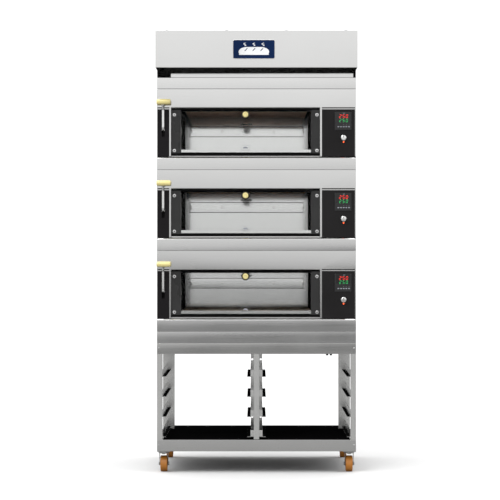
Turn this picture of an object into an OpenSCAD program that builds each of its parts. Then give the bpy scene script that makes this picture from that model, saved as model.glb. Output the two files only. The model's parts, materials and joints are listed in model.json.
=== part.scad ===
// Triple-deck electric deck oven on a wheeled tray stand, with a canopy hood.
// Millimetres. +X to the right, +Y to the back, +Z up. The origin is on the floor,
// under the middle of the whole object, hood included.

/* [Overall] */
// Width of the body, the stand and the hood
body_w = 930; // [775:1:1120]
// Depth of the body, from its front face to its back
body_d = 800; // [666:1:960]
// How far the hood stands out in front of the body
hood_reach = 160; // [130:1:200]
// Thickness of the sheet metal
sheet_t = 2; // [1.5:0.1:2.4]

/* [Stand] */
// Diameter of a caster wheel
wheel_d = 75; // [62:1:90]
// Width of a caster wheel
wheel_w = 32; // [26:1:38]
// Height of the lower rail of the stand
low_rail_h = 54; // [45:1:65]
// Clear height between the two rails of the stand
bay_h = 401; // [395:1:480]
// Height of the upper rail of the stand
top_rail_h = 50; // [42:1:60]
// Width of the corner posts and of the rails' flanges
post_w = 25; // [21:1:30]
// Length of the tray runners
runner_len = 600; // [500:1:600]
// Width of the ledge that a tray rests on
ledge_w = 17; // [14:1:20]
// Height of a runner's side wall
runner_h = 31; // [26:1:37]
// Height from one runner to the next
runner_pitch = 93.6; // [78:0.1:94]

/* [Decks] */
// Height of the plinth under the lowest deck
plinth_h = 55; // [45:1:66]
// Height of one deck
deck_h = 378; // [315:1:454]
// Height of the strip of front below the door
low_fascia_h = 54; // [46:1:64]
// Height of the strip of front above the door
top_fascia_h = 87; // [75:1:104]
// Width of the flue compartment behind the lever panel
flue_bay_w = 63; // [60:1:75]
// Width of the control compartment
control_bay_w = 168; // [140:1:200]
// Height of the panel on top of the highest deck
cap_h = 53; // [44:1:64]

/* [Baking chamber] */
// Width of the door's band beside the chamber, on the left
band_left = 45; // [38:1:54]
// Width of the door's band beside the chamber, on the right
band_right = 40; // [34:1:48]
// Room behind the chamber for its insulation and terminals
rear_room = 120; // [100:1:144]
// Height of the hearth's surface above the deck's base
hearth_z = 96; // [92:1:110]
// Thickness of a hearth slab
hearth_t = 20; // [16:1:24]

/* [Door] */
// Thickness of a pane of glass
glass_t = 4; // [3:0.1:5]
// Gap between the door and its opening
door_gap = 1; // [0.5:0.1:1.5]
// Radius of a hinge pin
pin_r = 4; // [3.3:0.1:4.8]
// Diameter of the round door knob
knob_d = 28; // [23:1:34]

/* [Steam lever] */
// Radius of the lever's rod
rod_r = 6; // [5:0.1:7.2]
// Length of the lever's cross grip
grip_len = 65; // [50:1:65]
// Diameter of the cross grip
grip_d = 25; // [21:1:30]

/* [Hood] */
// Height of the hood's front panel
hood_front_h = 170; // [142:1:204]
// Radius of the flue spigot
flue_r = 75; // [62:1:90]
// Height of the flue spigot
flue_h = 50; // [42:1:60]

/* [Hidden] */
$fn = 48;

// Running clearance of a pin in its bore, and of parts that pass each other
bore_gap = 0.05;
pass_gap = 1;
race_gap = 0.3;
// Joint between two slabs or two covers that lie side by side
seam_gap = 0.5;
// How far the badge and the screw heads stand proud
proud = 3;

// Plan of the body: its sides, its front face and its back
half_w = body_w / 2;
front_y = -(body_d + hood_reach) / 2 + hood_reach;
back_y = front_y + body_d;
hood_y = front_y - hood_reach;

// Heights of the stand
caster_rise = 25;
plate_t = 4;
caster_h = wheel_d + caster_rise;
low_rail_z = caster_h;
bay_z = low_rail_z + low_rail_h;
top_rail_z = bay_z + bay_h;
plinth_z = top_rail_z + top_rail_h;
deck_z = plinth_z + plinth_h;
cap_z = deck_z + 3 * deck_h;
hood_z = cap_z + cap_h;

// Hood: its front panel starts above the riser wall
riser_h = 21;
riser_return = 220;
hood_lip = 33;
hood_top = hood_z + hood_lip + hood_front_h;
flue_y = 220;

// Front frame of a deck
frame_d = 34;
panel_in = 4;
sill_rise = 8;
strip_w = 8;
window_z = low_fascia_h + sill_rise;
window_top = deck_h - top_fascia_h;
lever_x0 = -half_w + sheet_t;
lever_x1 = -half_w + flue_bay_w - strip_w + sheet_t;
door_x0 = -half_w + flue_bay_w + sheet_t;
door_x1 = half_w - control_bay_w;
panel_x0 = door_x1 + strip_w + 1;
panel_x1 = half_w - 5;

// Door and its hinge line
door_front = 12;
door_back = 42;
// the hinge pins lie just behind the outer pane
hinge_y = front_y + door_front + glass_t + pin_r;
hinge_z = window_z + 11;
door_z0 = window_z + 5;
door_z1 = window_top - 1.5;
door_frame_z1 = window_top - 7;
pane_step = 6;
door_screw_z = [door_z0 + 23, door_z1 - 32.5];
door_screw_in = [15, 13];
knob_x = (door_x0 + door_x1) / 2;
knob_z = window_top - 33;

// Chamber
mouth_y = front_y + door_back + pass_gap;
chamber_x0 = door_x0 + door_gap + band_left;
chamber_x1 = door_x1 - door_gap - band_right;
chamber_y1 = back_y - rear_room;
ceiling_z = window_top - 6;
ceiling_t = 12;
liner_z0 = 40;
liner_z1 = ceiling_z + ceiling_t + 25;
shelf_w = 15;
element_r = 4.25;
element_low_z = liner_z0 + 18;
element_high_z = ceiling_z + ceiling_t + 12;
element_count = 3;
element_front = mouth_y + 60;
element_hole_gap = 0.35;

// Steam lever, its shutter and the vent that the shutter covers
lever_x = lever_x0 + 27;
shaft_y = front_y + 18;
shaft_z = window_z + 125;
arm_y = front_y - 8;
elbow_z = shaft_z + 95;
grip_y = front_y - 45;
grip_z = shaft_z + 128;
shutter_x = door_x0 - sheet_t - pass_gap;
shutter_t = 1.5;
vent_y = shaft_y + 70;
vent_half = 18;
lug_t = 3;
shaft_r = rod_r + 1.2;

// Controls
ctrl_x = (panel_x0 + panel_x1) / 2 + 22;
ctrl_z = window_top - 63;
ctrl_w = 79;
ctrl_h = 84;
ctrl_t = 2;
ctrl_body = 70;
switch_x = ctrl_x + 2;
switch_z = ctrl_z - 79;
switch_r = 13;
lamp_z = switch_z - 19;

// Stand
post_side = 25.6;
rear_post_half = 28;
stop_y = front_y + runner_len;
stop_w = 34;
runner_t = 1.5;
runner_z0 = bay_z + 14.5;
runner_levels = 4;
shelf_t = 2;
foot_z = bay_z + shelf_t;

// Casters
caster_in_x = 30;
caster_in_front = 45;
caster_in_back = 70;
trail = 25;
king_r = 6;
axle_r = 5;
fork_t = 2.5;
fork_gap = 2;
axle_z = wheel_d / 2;
crown_top = caster_h - plate_t - 4;
crown_t = 4;
caster_x = half_w - caster_in_x;
caster_front_y = front_y + caster_in_front;
caster_back_y = back_y - caster_in_back;

// Cable glands under the back of the stand's top frame
gland_xs = [half_w - 110, half_w - 91];
gland_y = back_y - post_w - 20;
gland_r = 7.5;
gland_neck_r = 6;
gland_bore_r = 4;
gland_drop = 44;

steel = "gainsboro";
dark_steel = "silver";
black = [0.12, 0.12, 0.13];
stone = "tan";

// A box given by its two corners
module block(x0, x1, y0, y1, z0, z1) {
  translate([x0, y0, z0]) cube([x1 - x0, y1 - y0, z1 - z0]);
}

module rod_x(r, x0, x1, y, z) {
  translate([x0, y, z]) rotate([0, 90, 0]) cylinder(h = x1 - x0, r = r);
}

module rod_y(r, y0, y1, x, z) {
  translate([x, y1, z]) rotate([90, 0, 0]) cylinder(h = y1 - y0, r = r);
}

module rod_z(r, z0, z1, x, y) {
  translate([x, y, z0]) cylinder(h = z1 - z0, r = r);
}

// A straight rod between two points [y, z] of the plane x = 0
module link(a, b, r) {
  dy = b[0] - a[0];
  dz = b[1] - a[1];
  translate([0, a[0], a[1]])
    rotate([-atan2(dy, dz), 0, 0]) cylinder(h = sqrt(dy * dy + dz * dz), r = r);
}

// A welded knuckle at a point [y, z] of the plane x = 0
module elbow(at, r) {
  rod_x(r, -r, r, at[0], at[1]);
}

module at_deck(level) {
  translate([0, 0, deck_z + level * deck_h]) children();
}

module every_deck() {
  for (level = [0 : 2]) at_deck(level) children();
}

// A plate in the x-z plane with round corners, its front at y = 0
module badge_blank(w, h, t, r) {
  rotate([90, 0, 0]) translate([0, 0, -t]) linear_extrude(t) union() {
    square([w - 2 * r, h], center = true);
    square([w, h - 2 * r], center = true);
    for (sx = [-1, 1]) for (sz = [-1, 1])
      translate([sx * (w / 2 - r), sz * (h / 2 - r)]) circle(r = r);
  }
}

// A rail ring of the stand: a channel that is open towards the inside
module rail_tube(x0, x1, y0, y1, z, h) {
  difference() {
    block(x0, x1, y0, y1, z, z + h);
    block(x0 + sheet_t, x1 - sheet_t, y0 + sheet_t, y1 - sheet_t, z + sheet_t, z + h - sheet_t);
  }
}

// Front and rear rails of the stand, closed at their ends
module cross_rails(z, h) {
  for (y = [front_y, back_y - post_w]) rail_tube(-half_w, half_w, y, y + post_w, z, h);
}

// Side rails, welded between the front and rear rails
module side_rails(z, h) {
  for (x = [-half_w, half_w - post_w])
    rail_tube(x, x + post_w, front_y + post_w, back_y - post_w, z, h);
}

// ---- Hood ----

module flue_spigot() {
  color(steel) difference() {
    union() {
      rod_z(flue_r + 20, hood_top, hood_top + sheet_t, 0, flue_y);
      rod_z(flue_r, hood_top, hood_top + sheet_t + flue_h, 0, flue_y);
    }
    rod_z(flue_r - sheet_t, hood_top - 1, hood_top + flue_h + 3 * sheet_t, 0, flue_y);
  }
}

hood_bolt_pitch = (body_w - 108) / 3;
hood_bolt_y = hood_y + 15;
hood_bolt_r = 3;

module hood_bolt_holes(z0, z1) {
  for (i = [0 : 3])
    rod_z(hood_bolt_r + 0.3, z0, z1, (i - 1.5) * hood_bolt_pitch, hood_bolt_y);
}

module hood_canopy() {
  lip_z = hood_z + hood_lip;
  color(steel) difference() {
    union() {
      difference() {
        block(-half_w, half_w, hood_y, back_y, hood_z, hood_top);
        block(-half_w + sheet_t, half_w - sheet_t, hood_y + sheet_t, back_y - sheet_t,
              hood_z - 1, hood_top - sheet_t);
        block(-half_w - 1, half_w + 1, hood_y - 1, front_y, hood_z - 1, lip_z);
      }
      // stiffener behind the front panel, under the top
      block(-half_w + sheet_t, half_w - sheet_t, hood_bolt_y - 12, hood_bolt_y + 12,
            hood_top - 2 * sheet_t, hood_top - sheet_t);
      // gutter along the lower edge of the front panel
      block(-half_w + sheet_t, half_w - sheet_t, hood_y + sheet_t, hood_y + 14, lip_z, lip_z + sheet_t);
    }
    rod_z(flue_r - sheet_t, hood_top - 3 * sheet_t, hood_top + 1, 0, flue_y);
    hood_bolt_holes(hood_top - 3 * sheet_t, hood_top + 1);
  }
}

badge_w = 195;
badge_h = 89;
badge_x = -12;
badge_z = hood_top - 86;

module badge_plate() {
  color([0.02, 0.14, 0.3])
    translate([badge_x, hood_y - proud, badge_z]) badge_blank(badge_w, badge_h, proud, 10);
}

// ---- Fasteners that show ----

rail_screw_x = half_w - 9;
rail_screw_z = [low_rail_z + 29, plinth_z - 22];
screw_head_r = 4;

module frame_bolts() {
  color(dark_steel) {
    for (i = [0 : 3]) translate([(i - 1.5) * hood_bolt_pitch, hood_bolt_y, 0]) {
      rod_z(6, hood_top, hood_top + 3.5, 0, 0);
      rod_z(hood_bolt_r, hood_top - 12, hood_top, 0, 0);
      difference() {
        translate([0, 0, hood_top - 2 * sheet_t - 5]) cylinder(h = 5, r = 5.8, $fn = 6);
        rod_z(hood_bolt_r, hood_top - 20, hood_top, 0, 0);
      }
    }
    for (sx = [-1, 1]) for (z = rail_screw_z) {
      rod_y(screw_head_r, front_y - proud, front_y, sx * rail_screw_x, z);
      rod_y(screw_head_r, back_y, back_y + proud, sx * rail_screw_x, z);
    }
  }
}

// ---- Top cover: the cap, and the riser wall under the hood ----

flue_port_y0 = front_y + 60;
flue_port_y1 = front_y + 200;

module flue_port(z0, z1) {
  block(lever_x0 + 4, door_x0 - 10, flue_port_y0, flue_port_y1, z0, z1);
}

riser_x1 = half_w - 13;

module top_cover() {
  color(steel) {
    difference() {
      block(-half_w, half_w, front_y, back_y, cap_z, hood_z);
      block(-half_w + sheet_t, half_w - sheet_t, front_y + sheet_t, back_y - sheet_t,
            cap_z - 1, hood_z - sheet_t);
      flue_port(hood_z - 2 * sheet_t, hood_z + 1);
    }
  }
}

// Wall between the cover and the hood, folded back at both ends
module hood_riser() {
  color(steel) union() {
    block(door_x0, riser_x1, front_y, front_y + sheet_t, hood_z, hood_z + riser_h);
    for (x = [door_x0, riser_x1 - sheet_t])
      block(x, x + sheet_t, front_y, front_y + riser_return, hood_z, hood_z + riser_h);
  }
}

// ---- Deck casing ----

module deck_casing(has_floor_port) {
  color(steel) difference() {
    block(-half_w, half_w, front_y + frame_d, back_y - sheet_t, 0, deck_h);
    block(-half_w + sheet_t, half_w - sheet_t, front_y, back_y, sheet_t, deck_h - sheet_t);
    flue_port(deck_h - 2 * sheet_t, deck_h + 1);
    if (has_floor_port) flue_port(-1, 2 * sheet_t);
  }
}

module upper_casing() { at_deck(2) deck_casing(true); }
module middle_casing() { at_deck(1) deck_casing(true); }
module lower_casing() { at_deck(0) deck_casing(false); }

// ---- Baking chamber ----

function element_x(i) = chamber_x0 + (i + 0.5) * (chamber_x1 - chamber_x0) / element_count;
element_half = 45;

module element_holes() {
  for (i = [0 : element_count - 1]) for (side = [-1, 1]) for (z = [element_low_z, element_high_z])
    rod_y(element_r + element_hole_gap, chamber_y1 - 1, chamber_y1 + 2 * sheet_t,
          element_x(i) + side * element_half, z);
}

module deck_chamber() {
  color(dark_steel) difference() {
    union() {
      // folded liner
      difference() {
        block(chamber_x0 - sheet_t, chamber_x1 + sheet_t, mouth_y, chamber_y1 + sheet_t,
              liner_z0, liner_z1);
        block(chamber_x0, chamber_x1, mouth_y - 1, chamber_y1, liner_z0 + sheet_t, liner_z1 - sheet_t);
      }
      // bulkhead from the casing's floor to its roof
      difference() {
        block(door_x0 - sheet_t, door_x1 + sheet_t, mouth_y, mouth_y + sheet_t,
              sheet_t, deck_h - sheet_t);
        block(chamber_x0, chamber_x1, mouth_y - 1, mouth_y + 2 * sheet_t, hearth_z, ceiling_z);
      }
      // ledges for the hearth and the ceiling slab
      for (x = [chamber_x0, chamber_x1 - shelf_w]) {
        block(x, x + shelf_w, mouth_y + sheet_t, chamber_y1, hearth_z - hearth_t - 4, hearth_z - hearth_t);
        block(x, x + shelf_w, mouth_y, chamber_y1, ceiling_z - sheet_t, ceiling_z);
      }
      // rail that carries the front ends of the lower elements
      block(chamber_x0, chamber_x1, element_front + 40, element_front + 44,
            liner_z0 + sheet_t, element_low_z - element_r - race_gap);
      // vent stub that the shutter covers
      difference() {
        block(shutter_x + 1.5, chamber_x0, vent_y - vent_half - sheet_t, vent_y + vent_half + sheet_t,
              shaft_z - vent_half - sheet_t, shaft_z + vent_half + sheet_t);
        block(shutter_x, chamber_x0 + 1, vent_y - vent_half, vent_y + vent_half,
              shaft_z - vent_half, shaft_z + vent_half);
      }
    }
    block(chamber_x0 - 2 * sheet_t, chamber_x0 + 1, vent_y - vent_half, vent_y + vent_half,
          shaft_z - vent_half, shaft_z + vent_half);
    element_holes();
  }
  // deflector strip and its screws on the back wall
  color(steel) {
    strip_z = ceiling_z - 70;
    block(chamber_x0 + 22, chamber_x1 - 22, chamber_y1 - sheet_t, chamber_y1, strip_z - 24, strip_z + 24);
    for (u = [0.05, 0.3, 0.72, 0.96])
      rod_y(5, chamber_y1 - sheet_t - 3, chamber_y1 - sheet_t,
            chamber_x0 + u * (chamber_x1 - chamber_x0), strip_z);
  }
}

module upper_chamber() { at_deck(2) deck_chamber(); }
module middle_chamber() { at_deck(1) deck_chamber(); }
module lower_chamber() { at_deck(0) deck_chamber(); }

module hearth_slabs() {
  slab_w = (chamber_x1 - chamber_x0 - seam_gap) / 2;
  color(stone) every_deck() for (x = [chamber_x0, chamber_x1 - slab_w])
    block(x, x + slab_w, mouth_y + sheet_t, chamber_y1, hearth_z - hearth_t, hearth_z);
}

module ceiling_slabs() {
  color("sienna") every_deck()
    block(chamber_x0, chamber_x1, mouth_y + sheet_t, chamber_y1, ceiling_z, ceiling_z + ceiling_t);
}

// A hairpin element: two legs joined by a half turn at the front
module hairpin(x, z) {
  end_y = chamber_y1 + 20;
  turn_y = element_front + element_half;
  for (side = [-1, 1]) rod_y(element_r, turn_y, end_y, x + side * element_half, z);
  translate([x, turn_y, z]) rotate([0, 0, 180])
    rotate_extrude(angle = 180) translate([element_half, 0]) circle(r = element_r);
}

module heating_elements() {
  color("dimgray") every_deck()
    for (i = [0 : element_count - 1]) for (z = [element_low_z, element_high_z])
      hairpin(element_x(i), z);
}

module temperature_probes() {
  probe_y = chamber_y1 - 8;
  probe_z = ceiling_z - 33;
  color(dark_steel) every_deck() {
    rod_x(3, knob_x - 28, knob_x + 28, probe_y, probe_z);
    for (side = [-1, 1]) difference() {
      block(knob_x + side * 18 - 3, knob_x + side * 18 + 3, probe_y - 5, chamber_y1,
            probe_z - 5, probe_z + 5);
      rod_x(3, knob_x - 40, knob_x + 40, probe_y, probe_z);
    }
  }
}

module insulation() {
  back_face = mouth_y + sheet_t;
  rear_face = chamber_y1 + sheet_t;
  left = door_x0 + 6;
  right = door_x1 + sheet_t;
  color("khaki") every_deck() {
    block(chamber_x0, chamber_x1, back_face, rear_face, sheet_t, liner_z0);
    block(chamber_x0, chamber_x1, back_face, rear_face, liner_z1, deck_h - sheet_t);
    block(chamber_x1 + sheet_t, right, back_face, rear_face, liner_z0, liner_z1);
    difference() {
      block(left, chamber_x0 - sheet_t, back_face, rear_face, liner_z0, liner_z1);
      block(left - 1, chamber_x0, vent_y - vent_half - sheet_t, vent_y + vent_half + sheet_t,
            shaft_z - vent_half - sheet_t, shaft_z + vent_half + sheet_t);
    }
    block(chamber_x0, chamber_x1, rear_face, rear_face + 60, liner_z0 + 40, ceiling_z);
  }
}

// ---- Rear covers, with louvre slots over the terminals ----

louvre_count = 9;

module rear_covers() {
  color(steel) every_deck() difference() {
    block(-half_w, half_w, back_y - sheet_t, back_y, 0, deck_h - seam_gap);
    for (i = [0 : louvre_count - 1])
      block(half_w - 150, half_w - 50, back_y - 2 * sheet_t, back_y + 1,
            0.45 * deck_h + 14 * i, 0.45 * deck_h + 14 * i + 6);
  }
}

// ---- Front frame of a deck: folded sheet with three windows and a sloping sill ----

module window_return(x0, x1, depth) {
  difference() {
    block(x0 - sheet_t, x1 + sheet_t, front_y, front_y + depth, window_z - sheet_t, window_top + sheet_t);
    block(x0, x1, front_y - 1, front_y + depth + 1, window_z, window_top);
  }
}

module deck_front_frame() {
  color(steel) difference() {
    union() {
      // rim folded back all round
      difference() {
        block(-half_w, half_w, front_y, front_y + frame_d, 0, deck_h);
        block(-half_w + sheet_t, half_w - sheet_t, front_y + sheet_t, front_y + frame_d + 1,
              sheet_t, deck_h - sheet_t);
      }
      window_return(door_x0, door_x1, frame_d);
      window_return(lever_x0, lever_x1, 10);
      window_return(panel_x0, panel_x1, 20);
      // sheet behind the sloping sill
      block(-half_w, half_w, front_y, front_y + sill_rise + sheet_t, low_fascia_h - sheet_t, window_z);
    }
    for (w = [[lever_x0, lever_x1], [door_x0, door_x1], [panel_x0, panel_x1]])
      block(w[0], w[1], front_y - 1, front_y + frame_d + 1, window_z, window_top);
    // the slope of the sill
    translate([-half_w - 1, front_y, low_fascia_h]) rotate([90, 0, 90])
      linear_extrude(body_w + 2) polygon([[-1, -1], [0, 0], [sill_rise, sill_rise], [-1, sill_rise + 1]]);
    // hinge bores of the door
    rod_x(pin_r + bore_gap, door_x0 - 2 * sheet_t, door_x0 + 1, hinge_y, hinge_z);
    rod_x(pin_r + bore_gap, door_x1 - 1, door_x1 + 2 * sheet_t, hinge_y, hinge_z);
  }
  // strips between the windows
  color(steel) for (w = [[lever_x1, door_x0], [door_x1, panel_x0]])
    block(w[0] + sheet_t, w[1] - sheet_t, front_y + sheet_t, front_y + 2 * sheet_t, window_z, window_top);
}

module upper_front_frame() { at_deck(2) deck_front_frame(); }
module middle_front_frame() { at_deck(1) deck_front_frame(); }
module lower_front_frame() { at_deck(0) deck_front_frame(); }

// ---- Lever panel with its slot and the two lugs that carry the lever's shaft ----

panel_y0 = front_y + panel_in;
panel_y1 = panel_y0 + sheet_t;
lug_xs = [lever_x0 + 5, lever_x1 - 12];

module lever_panels() {
  color(black) every_deck() {
    difference() {
      block(lever_x0, lever_x1, panel_y0, panel_y1, window_z, window_top);
      block(lever_x - rod_r - pass_gap, lever_x + rod_r + pass_gap, panel_y0 - 1, panel_y1 + 1,
            shaft_z - 27 - rod_r, shaft_z + rod_r + 2 * pass_gap);
    }
    for (x = lug_xs) difference() {
      union() {
        block(x, x + lug_t, panel_y1, shaft_y, shaft_z - 12, shaft_z + 12);
        rod_x(12, x, x + lug_t, shaft_y, shaft_z);
      }
      rod_x(shaft_r + bore_gap, x - 1, x + lug_t + 1, shaft_y, shaft_z);
      block(x - 1, x + lug_t + 1, panel_y0 - 10, panel_y1, shaft_z - 20, shaft_z + 20);
    }
  }
}

// ---- Control panel and what is fixed to it ----

module deck_control_panel() {
  color(black) difference() {
    block(panel_x0, panel_x1, panel_y0, panel_y1, window_z, window_top);
    block(ctrl_x - ctrl_body / 2, ctrl_x + ctrl_body / 2, panel_y0 - 1, panel_y1 + 1,
          ctrl_z - ctrl_body / 2, ctrl_z + ctrl_body / 2);
    rod_y(3 + bore_gap, panel_y0 - 1, panel_y1 + 1, switch_x, switch_z);
    rod_y(3, panel_y0 - 1, panel_y1 + 1, switch_x, lamp_z);
  }
}

module control_panels() { for (i = [0 : 2]) at_deck(i) deck_control_panel(); }

module control_modules() {
  color([0.05, 0.05, 0.06]) every_deck() {
    // controller: bezel in front of the panel, body through its cut-out
    block(ctrl_x - ctrl_w / 2, ctrl_x + ctrl_w / 2, panel_y0 - ctrl_t, panel_y0,
          ctrl_z - ctrl_h / 2, ctrl_z + ctrl_h / 2);
    block(ctrl_x - ctrl_body / 2, ctrl_x + ctrl_body / 2, panel_y0, panel_y1 + 60,
          ctrl_z - ctrl_body / 2, ctrl_z + ctrl_body / 2);
    // rotary switch behind the panel, with the bore for the knob's shaft
    difference() {
      block(switch_x - 14, switch_x + 14, panel_y1, panel_y1 + 30, switch_z - 12, switch_z + 12);
      rod_y(3 + bore_gap, panel_y1 - 1, panel_y1 + 20, switch_x, switch_z);
    }
    // indicator lamp
    rod_y(3, panel_y0, panel_y1 + 12, switch_x, lamp_z);
    rod_y(4, panel_y0 - 1.5, panel_y0, switch_x, lamp_z);
  }
}

module deck_switch_knob() {
  color("silver") union() {
    rod_y(switch_r, panel_y0 - 18, panel_y0 - 1, switch_x, switch_z);
    rod_y(3, panel_y0 - 2, panel_y1 + 16, switch_x, switch_z);
    block(switch_x - 2, switch_x + 2, panel_y0 - 20, panel_y0 - 17, switch_z - 2, switch_z + switch_r - 2);
  }
}

module upper_switch_knob() { at_deck(2) deck_switch_knob(); }
module middle_switch_knob() { at_deck(1) deck_switch_knob(); }
module lower_switch_knob() { at_deck(0) deck_switch_knob(); }

// ---- Door ----

door_y0 = front_y + door_front;
door_y1 = front_y + door_back;
glass_x0 = door_x0 + door_gap;
glass_x1 = door_x1 - door_gap;
screw_r = 3;
inner_y = door_y1 - 2 * glass_t;
screw_xs = [glass_x0 + door_screw_in[0], glass_x1 - door_screw_in[1]];

module door_screw_holes(y0, y1, r) {
  for (x = screw_xs) for (z = door_screw_z) rod_y(r, y0, y1, x, z);
}

module deck_door_glass() {
  color([0.6, 0.65, 0.65, 0.4]) {
    difference() {
      block(glass_x0, glass_x1, door_y0, door_y0 + glass_t, door_z0, door_z1);
      door_screw_holes(door_y0 - 1, door_y0 + glass_t + 1, screw_r + 0.3);
      rod_y(screw_r + 0.3, door_y0 - 1, door_y0 + glass_t + 1, knob_x, knob_z);
    }
    block(chamber_x0 - pane_step, chamber_x1 + pane_step, inner_y, inner_y + glass_t,
          door_z0 + 9, door_frame_z1 - 4);
  }
}

module upper_door_glass() { at_deck(2) deck_door_glass(); }
module middle_door_glass() { at_deck(1) deck_door_glass(); }
module lower_door_glass() { at_deck(0) deck_door_glass(); }

module deck_door_frame() {
  back = door_y0 + glass_t;
  color(black) {
    difference() {
      union() {
        block(glass_x0, glass_x1, back, door_y1, door_z0, door_frame_z1);
        rod_x(pin_r, door_x0 - sheet_t, glass_x0 + 20, hinge_y, hinge_z);
        rod_x(pin_r, glass_x1 - 20, door_x1 + sheet_t, hinge_y, hinge_z);
      }
      block(chamber_x0, chamber_x1, door_y0 - 1, door_y1 + 1, door_z0 + 15, door_frame_z1 - 10);
      block(chamber_x0 - pane_step, chamber_x1 + pane_step, inner_y, door_y1 + 1,
            door_z0 + 9, door_frame_z1 - 4);
      door_screw_holes(back - 1, back + 12, screw_r);
    }
  }
  color(dark_steel) {
    door_screw_holes(door_y0, back + 12, screw_r);
    door_screw_holes(door_y0 - 2.5, door_y0, 8);
  }
}

module upper_door_frame() { at_deck(2) deck_door_frame(); }
module middle_door_frame() { at_deck(1) deck_door_frame(); }
module lower_door_frame() { at_deck(0) deck_door_frame(); }

// Round knob on a black rosette, screwed through the outer pane
module deck_door_knob() {
  knob_r = knob_d / 2;
  color([0.95, 0.92, 0.65]) translate([knob_x, door_y0, knob_z]) rotate([90, 0, 0])
    rotate_extrude() difference() {
      union() {
        square([19, 3]);
        square([5, 14]);
        translate([0, 12]) square([knob_r - 4, 14]);
        translate([0, 16]) square([knob_r, 6]);
        translate([knob_r - 4, 16]) circle(r = 4);
        translate([knob_r - 4, 22]) circle(r = 4);
      }
      translate([-20, -20]) square([20, 60]);
    }
  color(dark_steel) rod_y(screw_r, door_y0, door_y0 + glass_t, knob_x, knob_z);
  color(black) rod_y(7, door_y0 + glass_t, door_y0 + glass_t + 3, knob_x, knob_z);
}

module upper_door_knob() { at_deck(2) deck_door_knob(); }
module middle_door_knob() { at_deck(1) deck_door_knob(); }
module lower_door_knob() { at_deck(0) deck_door_knob(); }

// ---- Steam lever: shaft, cranked rod and shutter in one piece, with a cross grip ----

elbow_r = rod_r + 0.8;

module deck_steam_lever() {
  color("silver") union() {
    rod_x(shaft_r, lever_x0 + 3, shutter_x, shaft_y, shaft_z);
    translate([lever_x, 0, 0]) {
      link([shaft_y, shaft_z], [arm_y, shaft_z], rod_r);
      elbow([arm_y, shaft_z], elbow_r);
      link([arm_y, shaft_z], [arm_y, elbow_z], rod_r);
      elbow([arm_y, elbow_z], elbow_r);
      link([arm_y, elbow_z], [grip_y, grip_z], rod_r);
    }
    block(shutter_x - shutter_t, shutter_x, shaft_y, vent_y, shaft_z - 10, shaft_z + 10);
    block(shutter_x - shutter_t, shutter_x, vent_y - vent_half - 4, vent_y + vent_half + 4,
          shaft_z - vent_half - 4, shaft_z + vent_half + 4);
  }
}

module upper_steam_lever() { at_deck(2) deck_steam_lever(); }
module middle_steam_lever() { at_deck(1) deck_steam_lever(); }
module lower_steam_lever() { at_deck(0) deck_steam_lever(); }

module deck_lever_grip() {
  round_r = 4;
  grip_r = grip_d / 2;
  color([0.93, 0.88, 0.6]) difference() {
    translate([-half_w, grip_y, grip_z]) rotate([0, 90, 0]) rotate_extrude() difference() {
      union() {
        square([grip_r - round_r, grip_len]);
        translate([0, round_r]) square([grip_r, grip_len - 2 * round_r]);
        translate([grip_r - round_r, round_r]) circle(r = round_r);
        translate([grip_r - round_r, grip_len - round_r]) circle(r = round_r);
      }
      translate([-20, -20]) square([20, grip_len + 40]);
    }
    translate([lever_x, 0, 0]) link([arm_y, elbow_z], [grip_y, grip_z], rod_r + bore_gap);
  }
}

module upper_lever_grip() { at_deck(2) deck_lever_grip(); }
module middle_lever_grip() { at_deck(1) deck_lever_grip(); }
module lower_lever_grip() { at_deck(0) deck_lever_grip(); }

// ---- Plinth and stand ----

module base_plinth() {
  color(dark_steel) {
    difference() {
      block(-half_w, half_w, front_y, back_y, plinth_z, deck_z);
      block(-half_w + sheet_t, half_w - sheet_t, front_y + sheet_t, back_y - sheet_t,
            plinth_z + sheet_t, deck_z + 1);
    }
    // ribs that carry the decks
    for (x = [-half_w / 3, half_w / 3])
      block(x - sheet_t, x + sheet_t, front_y + sheet_t, back_y - sheet_t, plinth_z + sheet_t, deck_z);
  }
}

module stand_cross_rails() {
  color(dark_steel) {
    cross_rails(top_rail_z, top_rail_h);
    cross_rails(low_rail_z, low_rail_h);
  }
}

// Side rails, and the flat bar under the middle posts
module stand_side_rails() {
  color(dark_steel) {
    side_rails(top_rail_z, top_rail_h);
    side_rails(low_rail_z, low_rail_h);
    block(-rear_post_half, rear_post_half, front_y + post_w, back_y - post_w,
          bay_z - sheet_t, bay_z);
  }
}

// Flat bars over the middle posts, over the rear uprights and for the cable glands
module stand_top_bars() {
  inner_x = half_w - post_w;
  bar_top = top_rail_z + sheet_t;
  color(dark_steel) difference() {
    union() {
      block(-rear_post_half, rear_post_half, front_y + post_w, back_y - post_w, top_rail_z, bar_top);
      block(-inner_x, inner_x, stop_y, stop_y + 30, top_rail_z, bar_top);
      block(gland_xs[0] - 20, gland_xs[1] + 20, gland_y - 20, back_y - post_w, top_rail_z, bar_top);
    }
    for (x = gland_xs) rod_z(gland_neck_r + bore_gap, top_rail_z - 1, bar_top + 1, x, gland_y);
  }
}

module post_tube(x0, x1, y0, y1, z0, z1) {
  difference() {
    block(x0, x1, y0, y1, z0, z1);
    block(x0 + sheet_t, x1 - sheet_t, y0 + sheet_t, y1 - sheet_t, z0 - 1, z1 + 1);
  }
}

// Channel that is open at the back, with its front face at y0
module post_channel(x0, x1, y0, y1, z0, z1) {
  difference() {
    block(x0, x1, y0, y1, z0, z1);
    block(x0 + sheet_t, x1 - sheet_t, y0 + sheet_t, y1 + 1, z0 - 1, z1 + 1);
  }
}

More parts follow.
